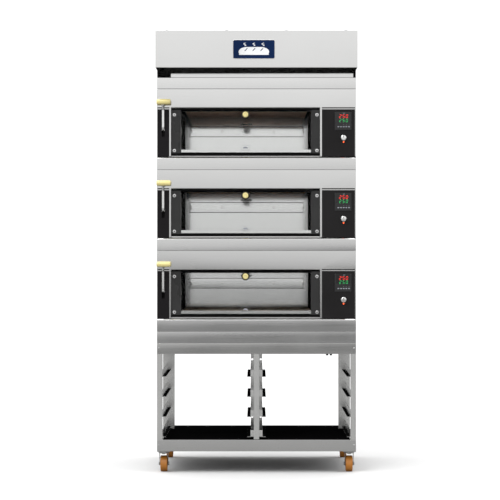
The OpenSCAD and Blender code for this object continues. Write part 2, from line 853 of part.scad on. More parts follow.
module stand_posts() {
  color(dark_steel) {
    for (y = [front_y, back_y - post_w]) {
      post_tube(-half_w, -half_w + post_w, y, y + post_w, bay_z, top_rail_z);
      post_tube(half_w - post_w, half_w, y, y + post_w, bay_z, top_rail_z);
    }
    post_tube(-post_side / 2, post_side / 2, front_y, front_y + post_side, foot_z, top_rail_z);
    // rear uprights that stop the trays
    difference() {
      post_channel(-rear_post_half, rear_post_half, stop_y, stop_y + post_w, foot_z, top_rail_z);
      for (side = [-1, 1]) for (z = [runner_z0 + runner_pitch / 2, top_rail_z - 55])
        block(side * 21 - 5, side * 21 + 5, stop_y - 1, stop_y + sheet_t + 1, z - 5, z + 4);
    }
    for (side = [-1, 1]) {
      // they reach out between the side rails
      x0 = side < 0 ? -half_w + sheet_t : half_w - post_w - stop_w;
      post_channel(x0, x0 + stop_w + post_w - sheet_t, stop_y, stop_y + post_w, foot_z, top_rail_z);
    }
  }
}

module stand_shelf() {
  inner_x = half_w - post_w - 2;
  color(black) difference() {
    block(-inner_x, inner_x, front_y + 2, back_y - 2, bay_z, foot_z);
  }
}

// One runner for the right-hand side of a bay; its wall's outer face is at x = 0
module runner(tab_w) {
  block(-runner_t, 0, front_y + 4, stop_y, 0, runner_h);
  block(-ledge_w, 0, front_y + 4, stop_y, -runner_t, 0);
  if (tab_w > 0) block(-runner_t, tab_w, front_y + 4, front_y + 6, 0, runner_h);
}

module tray_runners() {
  color("gray") for (level = [0 : runner_levels - 1])
    translate([0, 0, runner_z0 + level * runner_pitch]) for (side = [0, 1]) mirror([side, 0, 0]) {
      translate([half_w - post_w, 0, 0]) runner(0);
      translate([-(rear_post_half - runner_t), 0, 0]) runner(rear_post_half - runner_t - post_side / 2);
    }
}

module caster_plates() {
  color(dark_steel) for (x = [-caster_x, caster_x]) for (y = [caster_front_y, caster_back_y])
    translate([x, y, 0]) union() {
      block(-caster_in_x, caster_in_x, -caster_in_x, caster_in_x, caster_h - plate_t, caster_h);
      rod_z(king_r, crown_top - crown_t - 4, caster_h - plate_t, 0, 0);
      rod_z(king_r + 3, crown_top - crown_t - race_gap - 4, crown_top - crown_t - race_gap, 0, 0);
    }
}

// Swivel fork with its axle, the wheel trailing towards +Y
module caster_fork(x, y) {
  leg_in = wheel_w / 2 + fork_gap;
  leg_out = leg_in + fork_t;
  color(dark_steel) translate([x, y, 0]) difference() {
    union() {
      rod_z(24, crown_top - crown_t, crown_top, 0, 0);
      rod_z(18, crown_top, caster_h - plate_t - race_gap, 0, 0);
      for (side = [0, 1]) mirror([side, 0, 0]) translate([leg_in, 0, 0])
        rotate([90, 0, 90]) linear_extrude(fork_t) union() {
          polygon([[-11, crown_top], [11, crown_top], [trail + 10, axle_z], [trail - 10, axle_z]]);
          translate([trail, axle_z]) circle(r = 10);
        }
      rod_x(axle_r, -leg_out - 3, leg_out + 3, trail, axle_z);
      for (side = [0, 1]) mirror([side, 0, 0])
        translate([leg_out, trail, axle_z]) rotate([0, 90, 0]) cylinder(h = 4, r = 8, $fn = 6);
    }
    rod_z(king_r + bore_gap, crown_top - crown_t - 1, caster_h, 0, 0);
  }
}

module caster_fork_front_left() { caster_fork(-caster_x, caster_front_y); }
module caster_fork_front_right() { caster_fork(caster_x, caster_front_y); }
module caster_fork_rear_left() { caster_fork(-caster_x, caster_back_y); }
module caster_fork_rear_right() { caster_fork(caster_x, caster_back_y); }

module caster_wheel(x, y) {
  half = wheel_w / 2;
  tyre_r = wheel_d / 2;
  color([0.8, 0.45, 0.1]) translate([x, y + trail, axle_z]) rotate([0, 90, 0])
    rotate_extrude($fn = 96) difference() {
      union() {
        translate([axle_r + bore_gap, -half]) square([8, wheel_w]);
        translate([axle_r + bore_gap, -half / 2]) square([tyre_r - axle_r - 4, half]);
        translate([tyre_r - 11, -half + 3]) square([11, wheel_w - 6]);
        translate([tyre_r - 11, -half]) square([8, wheel_w]);
        for (side = [-1, 1]) translate([tyre_r - 3, side * (half - 3)]) circle(r = 3);
      }
    }
}

module caster_wheel_front_left() { caster_wheel(-caster_x, caster_front_y); }
module caster_wheel_front_right() { caster_wheel(caster_x, caster_front_y); }
module caster_wheel_rear_left() { caster_wheel(-caster_x, caster_back_y); }
module caster_wheel_rear_right() { caster_wheel(caster_x, caster_back_y); }

module cable_glands() {
  color(black) for (x = gland_xs) difference() {
    union() {
      rod_z(gland_neck_r, top_rail_z - 1, top_rail_z + 8, x, gland_y);
      rod_z(gland_r, top_rail_z - 20, top_rail_z, x, gland_y);
      rod_z(gland_neck_r, top_rail_z - gland_drop, top_rail_z - 19, x, gland_y);
    }
    rod_z(gland_bore_r, top_rail_z - gland_drop - 1, top_rail_z + 9, x, gland_y);
  }
}

flue_spigot();
hood_canopy();
badge_plate();
frame_bolts();
top_cover();
hood_riser();
upper_casing();
middle_casing();
lower_casing();
upper_chamber();
middle_chamber();
lower_chamber();
upper_front_frame();
middle_front_frame();
lower_front_frame();
control_panels();
lever_panels();
control_modules();
hearth_slabs();
ceiling_slabs();
heating_elements();
insulation();
rear_covers();
temperature_probes();
upper_door_glass();
middle_door_glass();
lower_door_glass();
upper_door_frame();
middle_door_frame();
lower_door_frame();
upper_door_knob();
middle_door_knob();
lower_door_knob();
upper_steam_lever();
middle_steam_lever();
lower_steam_lever();
upper_lever_grip();
middle_lever_grip();
lower_lever_grip();
upper_switch_knob();
middle_switch_knob();
lower_switch_knob();
base_plinth();
stand_cross_rails();
stand_side_rails();
stand_top_bars();
stand_posts();
stand_shelf();
tray_runners();
caster_plates();
cable_glands();
caster_fork_front_left();
caster_fork_front_right();
caster_fork_rear_left();
caster_fork_rear_right();
caster_wheel_front_left();
caster_wheel_front_right();
caster_wheel_rear_left();
caster_wheel_rear_right();
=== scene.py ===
"""The looks of the deck oven: materials, detailed pieces, light and camera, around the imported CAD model."""
import json
import math
import bpy
import bmesh
from mathutils import Matrix, Vector


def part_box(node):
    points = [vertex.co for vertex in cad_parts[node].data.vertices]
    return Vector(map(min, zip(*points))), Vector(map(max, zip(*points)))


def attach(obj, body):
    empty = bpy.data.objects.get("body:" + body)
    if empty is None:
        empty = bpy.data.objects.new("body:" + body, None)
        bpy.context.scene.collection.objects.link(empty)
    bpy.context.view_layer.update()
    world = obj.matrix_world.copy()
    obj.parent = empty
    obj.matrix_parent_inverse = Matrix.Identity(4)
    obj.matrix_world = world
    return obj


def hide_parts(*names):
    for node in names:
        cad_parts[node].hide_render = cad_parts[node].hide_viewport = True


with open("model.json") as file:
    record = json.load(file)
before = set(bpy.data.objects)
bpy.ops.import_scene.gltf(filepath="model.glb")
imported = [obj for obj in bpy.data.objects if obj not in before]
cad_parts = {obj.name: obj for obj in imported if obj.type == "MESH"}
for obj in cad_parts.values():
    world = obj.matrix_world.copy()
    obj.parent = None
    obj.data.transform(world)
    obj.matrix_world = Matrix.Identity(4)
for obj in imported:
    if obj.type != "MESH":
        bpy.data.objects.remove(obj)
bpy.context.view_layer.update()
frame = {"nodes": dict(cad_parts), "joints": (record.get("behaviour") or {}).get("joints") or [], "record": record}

LEVELS = ("lower", "middle", "upper")
CORNERS = ("front_left", "front_right", "rear_left", "rear_right")
ROOT = "oven"
MM = 0.001
EDGE = 1.4 * MM       # folded edges of the outer sheets
JOINTS = {joint["name"]: joint for joint in frame["joints"]}
BODY_OF = {node: body for body, nodes in frame["record"]["behaviour"]["bodies"].items() for node in nodes}

# ---------------------------------------------------------------- camera

# The view is nearly square on: a long lens, level with the middle of the oven.
FRONT_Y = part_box("lower_front_frame")[0].y
EYE_HEIGHT = 1.041
EYE_DISTANCE = 9.93
LENS = 153.0
FRAME_SHIFT = -0.013


def add_camera():
    data = bpy.data.cameras.new("camera")
    data.lens = LENS
    data.sensor_width = 36.0
    data.shift_x = FRAME_SHIFT
    data.clip_end = 100.0
    camera = bpy.data.objects.new("camera", data)
    camera.location = (0.0, FRONT_Y - EYE_DISTANCE, EYE_HEIGHT)
    camera.rotation_euler = (math.radians(90.0), 0.0, 0.0)
    bpy.context.scene.collection.objects.link(camera)
    bpy.context.scene.camera = camera


add_camera()

# ---------------------------------------------------------------- materials


def new_material(name, color, metallic=0.0, roughness=0.5, **sockets):
    """A Principled material. Extra sockets are named with underscores for spaces."""
    material = bpy.data.materials.new(name)
    material.use_nodes = True
    shader = material.node_tree.nodes["Principled BSDF"]
    shader.inputs["Base Color"].default_value = (*color, 1.0)
    shader.inputs["Metallic"].default_value = metallic
    shader.inputs["Roughness"].default_value = roughness
    for socket, value in sockets.items():
        shader.inputs[socket.replace("_", " ")].default_value = value
    return material


def add_noise(material, scale, detail=3.0, stretch=(1.0, 1.0, 1.0)):
    """The Fac output of a noise in object space."""
    tree = material.node_tree
    place = tree.nodes.new("ShaderNodeTexCoord")
    mapping = tree.nodes.new("ShaderNodeMapping")
    texture = tree.nodes.new("ShaderNodeTexNoise")
    mapping.inputs["Scale"].default_value = stretch
    texture.inputs["Scale"].default_value = scale
    texture.inputs["Detail"].default_value = detail
    tree.links.new(place.outputs["Object"], mapping.inputs["Vector"])
    tree.links.new(mapping.outputs["Vector"], texture.inputs["Vector"])
    return texture.outputs["Fac"]


def remap(material, value, low, high):
    """Stretches the middle of a noise to low..high."""
    node = material.node_tree.nodes.new("ShaderNodeMapRange")
    node.inputs["From Min"].default_value = 0.3
    node.inputs["From Max"].default_value = 0.7
    node.inputs["To Min"].default_value = low
    node.inputs["To Max"].default_value = high
    material.node_tree.links.new(value, node.inputs["Value"])
    return node.outputs["Result"]


def average(material, first, second):
    node = material.node_tree.nodes.new("ShaderNodeMath")
    node.operation = "MULTIPLY_ADD"
    node.inputs[1].default_value = 0.5
    half = material.node_tree.nodes.new("ShaderNodeMath")
    half.operation = "MULTIPLY"
    half.inputs[1].default_value = 0.5
    material.node_tree.links.new(second, half.inputs[0])
    material.node_tree.links.new(first, node.inputs[0])
    material.node_tree.links.new(half.outputs[0], node.inputs[2])
    return node.outputs[0]


def vary_color(material, value, dark, light):
    """Mixes the base colour between two tones by a noise."""
    tree = material.node_tree
    mix = tree.nodes.new("ShaderNodeMix")
    mix.data_type = "RGBA"
    mix.inputs["A"].default_value = (*dark, 1.0)
    mix.inputs["B"].default_value = (*light, 1.0)
    tree.links.new(remap(material, value, 0.0, 1.0), mix.inputs["Factor"])
    tree.links.new(mix.outputs["Result"], tree.nodes["Principled BSDF"].inputs["Base Color"])


def vary_roughness(material, value, low, high):
    shader = material.node_tree.nodes["Principled BSDF"]
    material.node_tree.links.new(remap(material, value, low, high), shader.inputs["Roughness"])


def add_bump(material, value, depth, strength=0.5):
    tree = material.node_tree
    bump = tree.nodes.new("ShaderNodeBump")
    bump.inputs["Strength"].default_value = strength
    bump.inputs["Distance"].default_value = depth
    tree.links.new(value, bump.inputs["Height"])
    tree.links.new(bump.outputs["Normal"], tree.nodes["Principled BSDF"].inputs["Normal"])


def scaled(color, factor):
    return tuple(channel * factor for channel in color)


def brushed_steel(name, color, roughness, along="x", depth=0.00001):
    """Stainless steel with a fine grain along one axis, and large soft patches of handling."""
    stretch = {"x": (4.0, 700.0, 700.0), "y": (700.0, 4.0, 700.0), "z": (700.0, 700.0, 4.0)}[along]
    material = new_material(name, color, metallic=1.0, roughness=roughness)
    grain = add_noise(material, 1.0, 2.0, stretch)
    patches = add_noise(material, 4.0, 4.0)
    both = average(material, grain, patches)
    vary_color(material, both, scaled(color, 0.965), scaled(color, 1.035))
    vary_roughness(material, both, roughness - 0.03, roughness + 0.03)
    add_bump(material, grain, depth, 0.35)
    return material


def plated_steel(name, color, roughness):
    """Zinc or nickel plate: cloudy, with fine pits."""
    material = new_material(name, color, metallic=1.0, roughness=roughness)
    clouds = add_noise(material, 60.0, 5.0)
    pits = add_noise(material, 900.0, 2.0)
    vary_color(material, clouds, scaled(color, 0.82), scaled(color, 1.1))
    vary_roughness(material, clouds, roughness - 0.07, roughness + 0.1)
    add_bump(material, pits, 0.00003, 0.3)
    return material


def painted(name, color, roughness, peel=500.0, depth=0.00003, **sockets):
    """Paint, enamel or moulded plastic with a light orange peel and uneven gloss."""
    material = new_material(name, color, roughness=roughness, **sockets)
    texture = add_noise(material, peel, 2.0)
    wear = add_noise(material, 7.0, 5.0)
    vary_color(material, wear, scaled(color, 0.85), scaled(color, 1.15))
    vary_roughness(material, wear, roughness - 0.05, roughness + 0.07)
    add_bump(material, texture, depth, 0.3)
    return material


def stone(name, dark, light, depth=0.0004):
    material = new_material(name, light, roughness=0.85)
    clouds = add_noise(material, 18.0, 8.0)
    specks = add_noise(material, 350.0, 3.0)
    both = average(material, clouds, specks)
    vary_color(material, both, dark, light)
    add_bump(material, specks, depth, 0.6)
    return material


def glowing(name, color, strength):
    material = new_material(name, scaled(color, 0.3), roughness=0.3)
    shader = material.node_tree.nodes["Principled BSDF"]
    shader.inputs["Emission Color"].default_value = (*color, 1.0)
    shader.inputs["Emission Strength"].default_value = strength
    return material


FRONT_STEEL = brushed_steel("front_steel", (0.65, 0.65, 0.645), 0.1)
SIDE_STEEL = brushed_steel("side_steel", (0.60, 0.60, 0.595), 0.24, "y")
STAND_STEEL = brushed_steel("stand_steel", (0.60, 0.60, 0.59), 0.11)
POST_STEEL = brushed_steel("post_steel", (0.62, 0.62, 0.61), 0.24, "z")
CHAMBER_STEEL = brushed_steel("chamber_steel", (0.74, 0.735, 0.725), 0.09, "x", 0.00001)
# Painted shade: near black with no reflection, for the shade on the chamber's side walls, ceiling and floor faces.
CHAMBER_SIDE_SHADE = painted("chamber_side_painted_shade", (0.0035, 0.0034, 0.0032), 0.5, 300.0, 0.00003, Specular_IOR_Level=0.0)
ROD_STEEL = brushed_steel("rod_steel", (0.78, 0.78, 0.77), 0.14, "z", 0.000004)
ZINC = plated_steel("zinc", (0.40, 0.40, 0.39), 0.3)
GALVANISED = plated_steel("galvanised", (0.62, 0.64, 0.66), 0.3)
RUNNER_STEEL = brushed_steel("runner_steel", (0.62, 0.62, 0.61), 0.22, "y")
FASTENER = plated_steel("fastener", (0.66, 0.66, 0.66), 0.24)
LEVER_PANEL = painted("lever_panel_black", (0.0105, 0.0095, 0.0105), 0.42, Specular_IOR_Level=0.1)
CONTROL_PANEL = painted("control_panel_black", (0.0135, 0.0125, 0.013), 0.36, Specular_IOR_Level=0.14)
DOOR_BLACK = painted("door_black", (0.024, 0.024, 0.024), 0.4)
# Black rubber for the knob rosettes, screw sockets and switch pointers; the same material is the painted shade in the
# gaps over the panels and around the deflector strips.
RUBBER_AND_GAP_SHADE = painted("black_rubber_and_gap_shade", (0.012, 0.012, 0.012), 0.6, 900.0, 0.00005)
PLASTIC = painted("black_plastic", (0.010, 0.010, 0.011), 0.34, 1400.0, 0.00001)
SHELF = painted("shelf_black", (0.0030, 0.0030, 0.0031), 0.3, 300.0, 0.000004, Specular_IOR_Level=0.0)
# Painted shade: near black with no reflection, for the shade on the upward faces of the tray runners.
RUNNER_TOP_SHADE = painted("runner_ledge_painted_shade", (0.006, 0.006, 0.006), 0.4, 300.0, 0.00001, Specular_IOR_Level=0.0)
DISPLAY = painted("display_window", (0.004, 0.003, 0.003), 0.1, 200.0, 0.000001)
BADGE_BLUE = painted("badge_enamel", (0.0004, 0.013, 0.062), 0.3, 200.0, 0.000004, Specular_IOR_Level=0.12)
BADGE_WHITE = painted("badge_white", (0.82, 0.83, 0.84), 0.3, 300.0, 0.000004)
PHENOLIC = painted("cream_phenolic", (0.86, 0.74, 0.31), 0.26, 260.0, 0.000008,
                   Coat_Weight=0.5, Coat_Roughness=0.12)
TYRE = painted("polyurethane_tyre", (0.50, 0.19, 0.030), 0.42, 700.0, 0.00006)
HUB = painted("wheel_hub", (0.30, 0.12, 0.03), 0.38, 700.0, 0.00004)
HEARTH_STONE = stone("hearth_stone", (0.36, 0.31, 0.25), (0.60, 0.54, 0.46))
CEILING_STONE = stone("ceiling_stone", (0.50, 0.34, 0.25), (0.74, 0.51, 0.38))
WOOL = stone("mineral_wool", (0.45, 0.38, 0.2), (0.75, 0.68, 0.45), 0.002)
ELEMENT = plated_steel("element_sheath", (0.18, 0.16, 0.15), 0.5)
GLASS_BORDER = painted("glass_border_grey", (0.030, 0.030, 0.030), 0.3, 300.0, 0.000002, Specular_IOR_Level=0.25)
# Black print on the glass strips; the same material is the painted shade in the front seams.
BLACK_PRINT_AND_SEAM_SHADE = painted("black_print_and_seam_shade", (0.0035, 0.0035, 0.0035), 0.5, 300.0, 0.00001, Specular_IOR_Level=0.05)
RED_DIGITS = glowing("red_digits", (1.0, 0.035, 0.02), 1.7)
GREEN_DIGITS = glowing("green_digits", (0.03, 0.62, 0.16), 1.1)
LAMP_RED = glowing("lamp_red", (1.0, 0.11, 0.03), 2.2)
SYMBOL_GREY = painted("symbol_grey", (0.30, 0.32, 0.36), 0.5)


def door_glass_material():
    material = new_material("door_glass", (0.97, 0.975, 0.975), roughness=0.0, IOR=1.1, Transmission_Weight=1.0)
    smudge = add_noise(material, 9.0, 4.0)
    vary_roughness(material, smudge, 0.0, 0.012)
    return material


GLASS = door_glass_material()

# ---------------------------------------------------------------- mesh helpers


def finish_piece(name, mesh, material, body, smooth_angle=40.0):
    """Links a mesh as a piece, smooths it by angle, and puts it on its body."""
    mesh.materials.clear()
    mesh.materials.append(material)
    piece = bpy.data.objects.new(name, mesh)
    bpy.context.scene.collection.objects.link(piece)
    shaded = bmesh.new()
    shaded.from_mesh(mesh)
    limit = math.radians(smooth_angle)
    for face in shaded.faces:
        face.smooth = True
    for edge in shaded.edges:
        edge.smooth = len(edge.link_faces) == 2 and edge.calc_face_angle(0.0) < limit
    shaded.to_mesh(mesh)
    shaded.free()
    weighted = piece.modifiers.new("flat_faces", "WEIGHTED_NORMAL")
    weighted.keep_sharp = True
    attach(piece, body)
    return piece


def mesh_from(name, build):
    """A mesh made by a function that fills a bmesh."""
    form = bmesh.new()
    build(form)
    bmesh.ops.recalc_face_normals(form, faces=form.faces)
    mesh = bpy.data.meshes.new(name)
    form.to_mesh(mesh)
    form.free()
    return mesh


def soften(node, material, width=0.5 * MM, other=None, on_other=None):
    """A copy of a CAD node with its sharp edges rounded, as folded or machined edges are.
    The other material, where there is one, goes on the faces that on_other picks."""
    form = bmesh.new()
    form.from_mesh(frame["nodes"][node].data)
    bmesh.ops.remove_doubles(form, verts=form.verts, dist=1e-6)
    sharp = [edge for edge in form.edges
             if len(edge.link_faces) == 2 and edge.calc_face_angle(0.0) > math.radians(40.0)]
    bmesh.ops.bevel(form, geom=sharp, offset=width, segments=2, profile=0.5, affect="EDGES", clamp_overlap=False)
    mesh = bpy.data.meshes.new(node + "_edges")
    form.to_mesh(mesh)
    form.free()
    piece = finish_piece(node + "_finished", mesh, material, BODY_OF[node])
    if other:
        mesh.materials.append(other)
        for face in mesh.polygons:
            face.material_index = int(on_other(face))
    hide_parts(node)
    return piece


def assign(node, material):
    """Gives a CAD node its material."""
    data = frame["nodes"][node].data
    data.materials.clear()
    data.materials.append(material)


def bridge(form, low, high):
    """The quads between two closed rings with the same number of points."""
    count = len(low)
    for step in range(count):
        after = (step + 1) % count
        form.faces.new((low[step], low[after], high[after], high[step]))


def arc(radius_x, radius_z, first, stop, step, x=0.0, z=0.0):
    """Points of an ellipse about (x, z), for the degrees of a range."""
    return [(x + radius_x * math.cos(math.radians(turn)), z + radius_z * math.sin(math.radians(turn)))
            for turn in range(first, stop, step)]


def in_mm(*points):
    """Points that are given in millimetres."""
    return [(first * MM, second * MM) for first, second in points]


def add_lathe(form, profile, matrix, steps=48):
    """Turns (radius, height) points about the local Z axis."""
    rings = []
    for radius, height in profile:
        if radius < 1e-6:
            rings.append([form.verts.new(matrix @ Vector((0.0, 0.0, height)))])
            continue
        ring = []
        for step in range(steps):
            turn = 2.0 * math.pi * step / steps
            ring.append(form.verts.new(matrix @ Vector((radius * math.cos(turn), radius * math.sin(turn), height))))
        rings.append(ring)
    for low, high in zip(rings, rings[1:]):
        if len(low) > 1 and len(high) > 1:
            bridge(form, low, high)
            continue
        for step in range(max(len(low), len(high))):
            after = (step + 1) % steps
            if len(low) == 1 and len(high) > 1:
                form.faces.new((low[0], high[after], high[step]))
            elif len(low) > 1:
                form.faces.new((low[step], low[after], high[0]))


def add_box(form, low, high):
    """An axis-aligned block between two corners."""
    centre = (Vector(low) + Vector(high)) / 2.0
    size = Vector(high) - Vector(low)
    matrix = Matrix.Translation(centre) @ Matrix.Diagonal((*size, 1.0))
    bmesh.ops.create_cube(form, size=1.0, matrix=matrix)


def rounded_outline(width, height, radius, steps=8):
    """Points of a rectangle with round corners, centred on the origin."""
    points = []
    for corner, (sx, sz) in enumerate(((1, 1), (-1, 1), (-1, -1), (1, -1))):
        for step in range(steps + 1):
            turn = math.radians(90.0) * (corner + step / steps)
            points.append((sx * (width / 2.0 - radius) + radius * math.cos(turn),
                           sz * (height / 2.0 - radius) + radius * math.sin(turn)))
    return points


def add_plate(form, centre, outline, y_back, y_front, edge=0.0):
    """A plate in the x-z plane, with its front edge eased back by edge."""
    def ring(inset, y):
        span_x = max(abs(point[0]) for point in outline)
        span_z = max(abs(point[1]) for point in outline)
        return [form.verts.new((centre[0] + x * (1.0 - inset / span_x), y, centre[1] + z * (1.0 - inset / span_z)))
                for x, z in outline]
    rings = [ring(0.0, y_back), ring(0.0, y_front + edge)]
    if edge > 0.0:
        rings.append(ring(edge, y_front))
    for low, high in zip(rings, rings[1:]):
        bridge(form, low, high)
    form.faces.new(rings[0])
    form.faces.new(rings[-1])


def fillet_path(points, radius, steps=10):
    """A polyline with its inner corners rounded by arcs."""
    path = [Vector(points[0])]
    for before, corner, after in zip(points, points[1:], points[2:]):
        corner = Vector(corner)
        into = (Vector(before) - corner).normalized()
        out = (Vector(after) - corner).normalized()
        half = into.angle(out) / 2.0
        reach = radius / math.tan(half)
        centre = corner + (into + out).normalized() * (radius / math.sin(half))
        start = corner + into * reach - centre
        stop = corner + out * reach - centre
        for step in range(steps + 1):
            path.append(centre + start.slerp(stop, step / steps).normalized() * radius)
    path.append(Vector(points[-1]))
    return path


def add_tube(form, path, radius, sides=24):
    """A closed round tube along a path that lies in one plane across X."""
    rings = []
    for index, point in enumerate(path):
        ahead = path[min(index + 1, len(path) - 1)] - path[max(index - 1, 0)]
        ahead.normalize()
        side = Vector((1.0, 0.0, 0.0))
        up = ahead.cross(side).normalized()
        ring = []
        for step in range(sides):
            turn = 2.0 * math.pi * step / sides
            ring.append(form.verts.new(point + radius * (math.cos(turn) * side + math.sin(turn) * up)))
        rings.append(ring)
    for low, high in zip(rings, rings[1:]):
        bridge(form, low, high)
    form.faces.new(rings[0])
    form.faces.new(rings[-1])


def facing_front(x, y, z):
    """A matrix whose local Z points out of the front of the oven."""
    return Matrix.Translation((x, y, z)) @ Matrix.Rotation(math.radians(90.0), 4, "X")


def along_x(x, y, z):
    """A matrix whose local Z points along +X."""
    return Matrix.Translation((x, y, z)) @ Matrix.Rotation(math.radians(90.0), 4, "Y")


# ---------------------------------------------------------------- sheet metal, frames and casings

for node in ("hood_canopy", "top_cover", "base_plinth"):
    soften(node, FRONT_STEEL, EDGE)
soften("hood_riser", FRONT_STEEL)
soften("rear_covers", SIDE_STEEL)
for level in LEVELS:
    soften(level + "_casing", SIDE_STEEL)
    soften(level + "_front_frame", FRONT_STEEL, EDGE)
    # Faces that do not face front or back get the near-black painted shade; the back wall keeps the bright steel.
    soften(level + "_chamber", CHAMBER_STEEL, 0.5 * MM, CHAMBER_SIDE_SHADE, lambda face: abs(face.normal.y) < 0.5)
    soften(level + "_door_glass", GLASS)
    glass_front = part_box(level + "_door_glass")[0].y
    soften(level + "_door_frame", DOOR_BLACK, 0.6 * MM, FASTENER,
           lambda face: face.center.y < glass_front - 0.1 * MM)   # the screw heads
for node in ("stand_cross_rails", "stand_side_rails"):
    soften(node, STAND_STEEL, EDGE)
soften("stand_top_bars", STAND_STEEL, 0.3 * MM)
soften("stand_posts", POST_STEEL, 0.8 * MM)
# The upward faces of the runners get the near-black painted shade.
soften("tray_runners", RUNNER_STEEL, 0.3 * MM, RUNNER_TOP_SHADE, lambda face: face.normal.z > 0.5)
soften("stand_shelf", SHELF)
soften("flue_spigot", GALVANISED)
soften("lever_panels", LEVER_PANEL, 0.3 * MM)
soften("control_panels", CONTROL_PANEL, 0.3 * MM)
soften("caster_plates", ZINC)
soften("frame_bolts", FASTENER, 0.6 * MM)
soften("cable_glands", PLASTIC, 0.6 * MM)
soften("control_modules", PLASTIC)
assign("hearth_slabs", HEARTH_STONE)
assign("ceiling_slabs", CEILING_STONE)
assign("heating_elements", ELEMENT)
assign("insulation", WOOL)
assign("temperature_probes", ZINC)

# ---------------------------------------------------------------- small trim


def panel_box(level):
    """The corners of one deck's control panel, from the three panels' shared node."""
    low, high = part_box("control_panels")
    decks = [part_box(name + "_front_frame")[0].z for name in LEVELS]
    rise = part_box(level + "_front_frame")[0].z - decks[0]
    height = high.z - low.z - (decks[-1] - decks[0])
    return Vector((low.x, low.y, low.z + rise)), Vector((high.x, high.y, low.z + rise + height))


def add_panel_trim(level):
    """A bright fold above each black panel, with a black strip over it as painted shade in the shadow gap."""
    low, high = panel_box(level)
    lever_low, lever_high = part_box("lever_panels")
    top = high.z

    def fold_form(form):
        for x0, x1 in ((low.x - 1.0 * MM, high.x), (lever_low.x, lever_high.x)):
            add_box(form, (x0, low.y - 1.0 * MM, top - 8.0 * MM), (x1, low.y + 0.5 * MM, top - 4.5 * MM))

    def gap_shade_form(form):
        for x0, x1 in ((low.x, high.x), (lever_low.x, lever_high.x)):
            add_box(form, (x0, low.y - 0.6 * MM, top - 4.5 * MM), (x1, low.y + 0.5 * MM, top - 0.5 * MM))

    def backing_form(form):
        add_box(form, (lever_low.x + 4.0 * MM, low.y + 26.0 * MM, low.z + 60.0 * MM),
                (lever_high.x - 4.0 * MM, low.y + 27.0 * MM, low.z + 160.0 * MM))

    finish_piece(level + "_panel_fold", mesh_from("fold", fold_form), FRONT_STEEL, ROOT)
    # The black gap piece is painted shade in the shadow gap above the fold.
    finish_piece(level + "_panel_gap_shade", mesh_from("gap", gap_shade_form), RUBBER_AND_GAP_SHADE, ROOT)
    finish_piece(level + "_slot_backing", mesh_from("backing", backing_form), LEVER_PANEL, ROOT)


def add_strip_outline(level):
    """Painted shade: a black outline in the gap around the deflector strip on the back wall."""
    casing_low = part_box(level + "_casing")[0]
    door_low, door_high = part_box(level + "_door_frame")
    x0, x1 = door_low.x + 67.0 * MM, door_high.x - 67.0 * MM
    z0, z1 = casing_low.z + 191.0 * MM, casing_low.z + 239.0 * MM
    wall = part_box(level + "_chamber")[1].y - 2.0 * MM
    line = 2.2 * MM

    def outline_form(form):
        add_box(form, (x0 - line, wall - 1.2 * MM, z0 - line), (x1 + line, wall - 0.2 * MM, z0))
        add_box(form, (x0 - line, wall - 1.2 * MM, z1), (x1 + line, wall - 0.2 * MM, z1 + line))
        for x in (x0 - line, x1):
            add_box(form, (x, wall - 1.2 * MM, z0), (x + line, wall - 0.2 * MM, z1))

    # The black outline is painted shade along the edges of the deflector strip.
    finish_piece(level + "_strip_gap_shade", mesh_from("strip_gap_shade", outline_form), RUBBER_AND_GAP_SHADE, ROOT)


def add_seams():
    """Painted shade: black strips in the grooves between the stacked sheets, at the bottom of their rounded edges."""
    def seam_shade_form(form):
        for upper in ("lower_front_frame", "middle_front_frame", "upper_front_frame", "top_cover", "hood_riser"):
            low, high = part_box(upper)
            add_box(form, (low.x + 1.5 * MM, low.y + 0.3 * MM, low.z - 1.2 * MM),
                    (high.x - 1.5 * MM, low.y + 1.6 * MM, low.z + 1.2 * MM))

    # The black seam strips are painted shade in the grooves between the sheets.
    finish_piece("front_seam_shade", mesh_from("seams", seam_shade_form), BLACK_PRINT_AND_SEAM_SHADE, ROOT)


for level in LEVELS:
    add_panel_trim(level)
    add_strip_outline(level)
add_seams()

# ---------------------------------------------------------------- badge


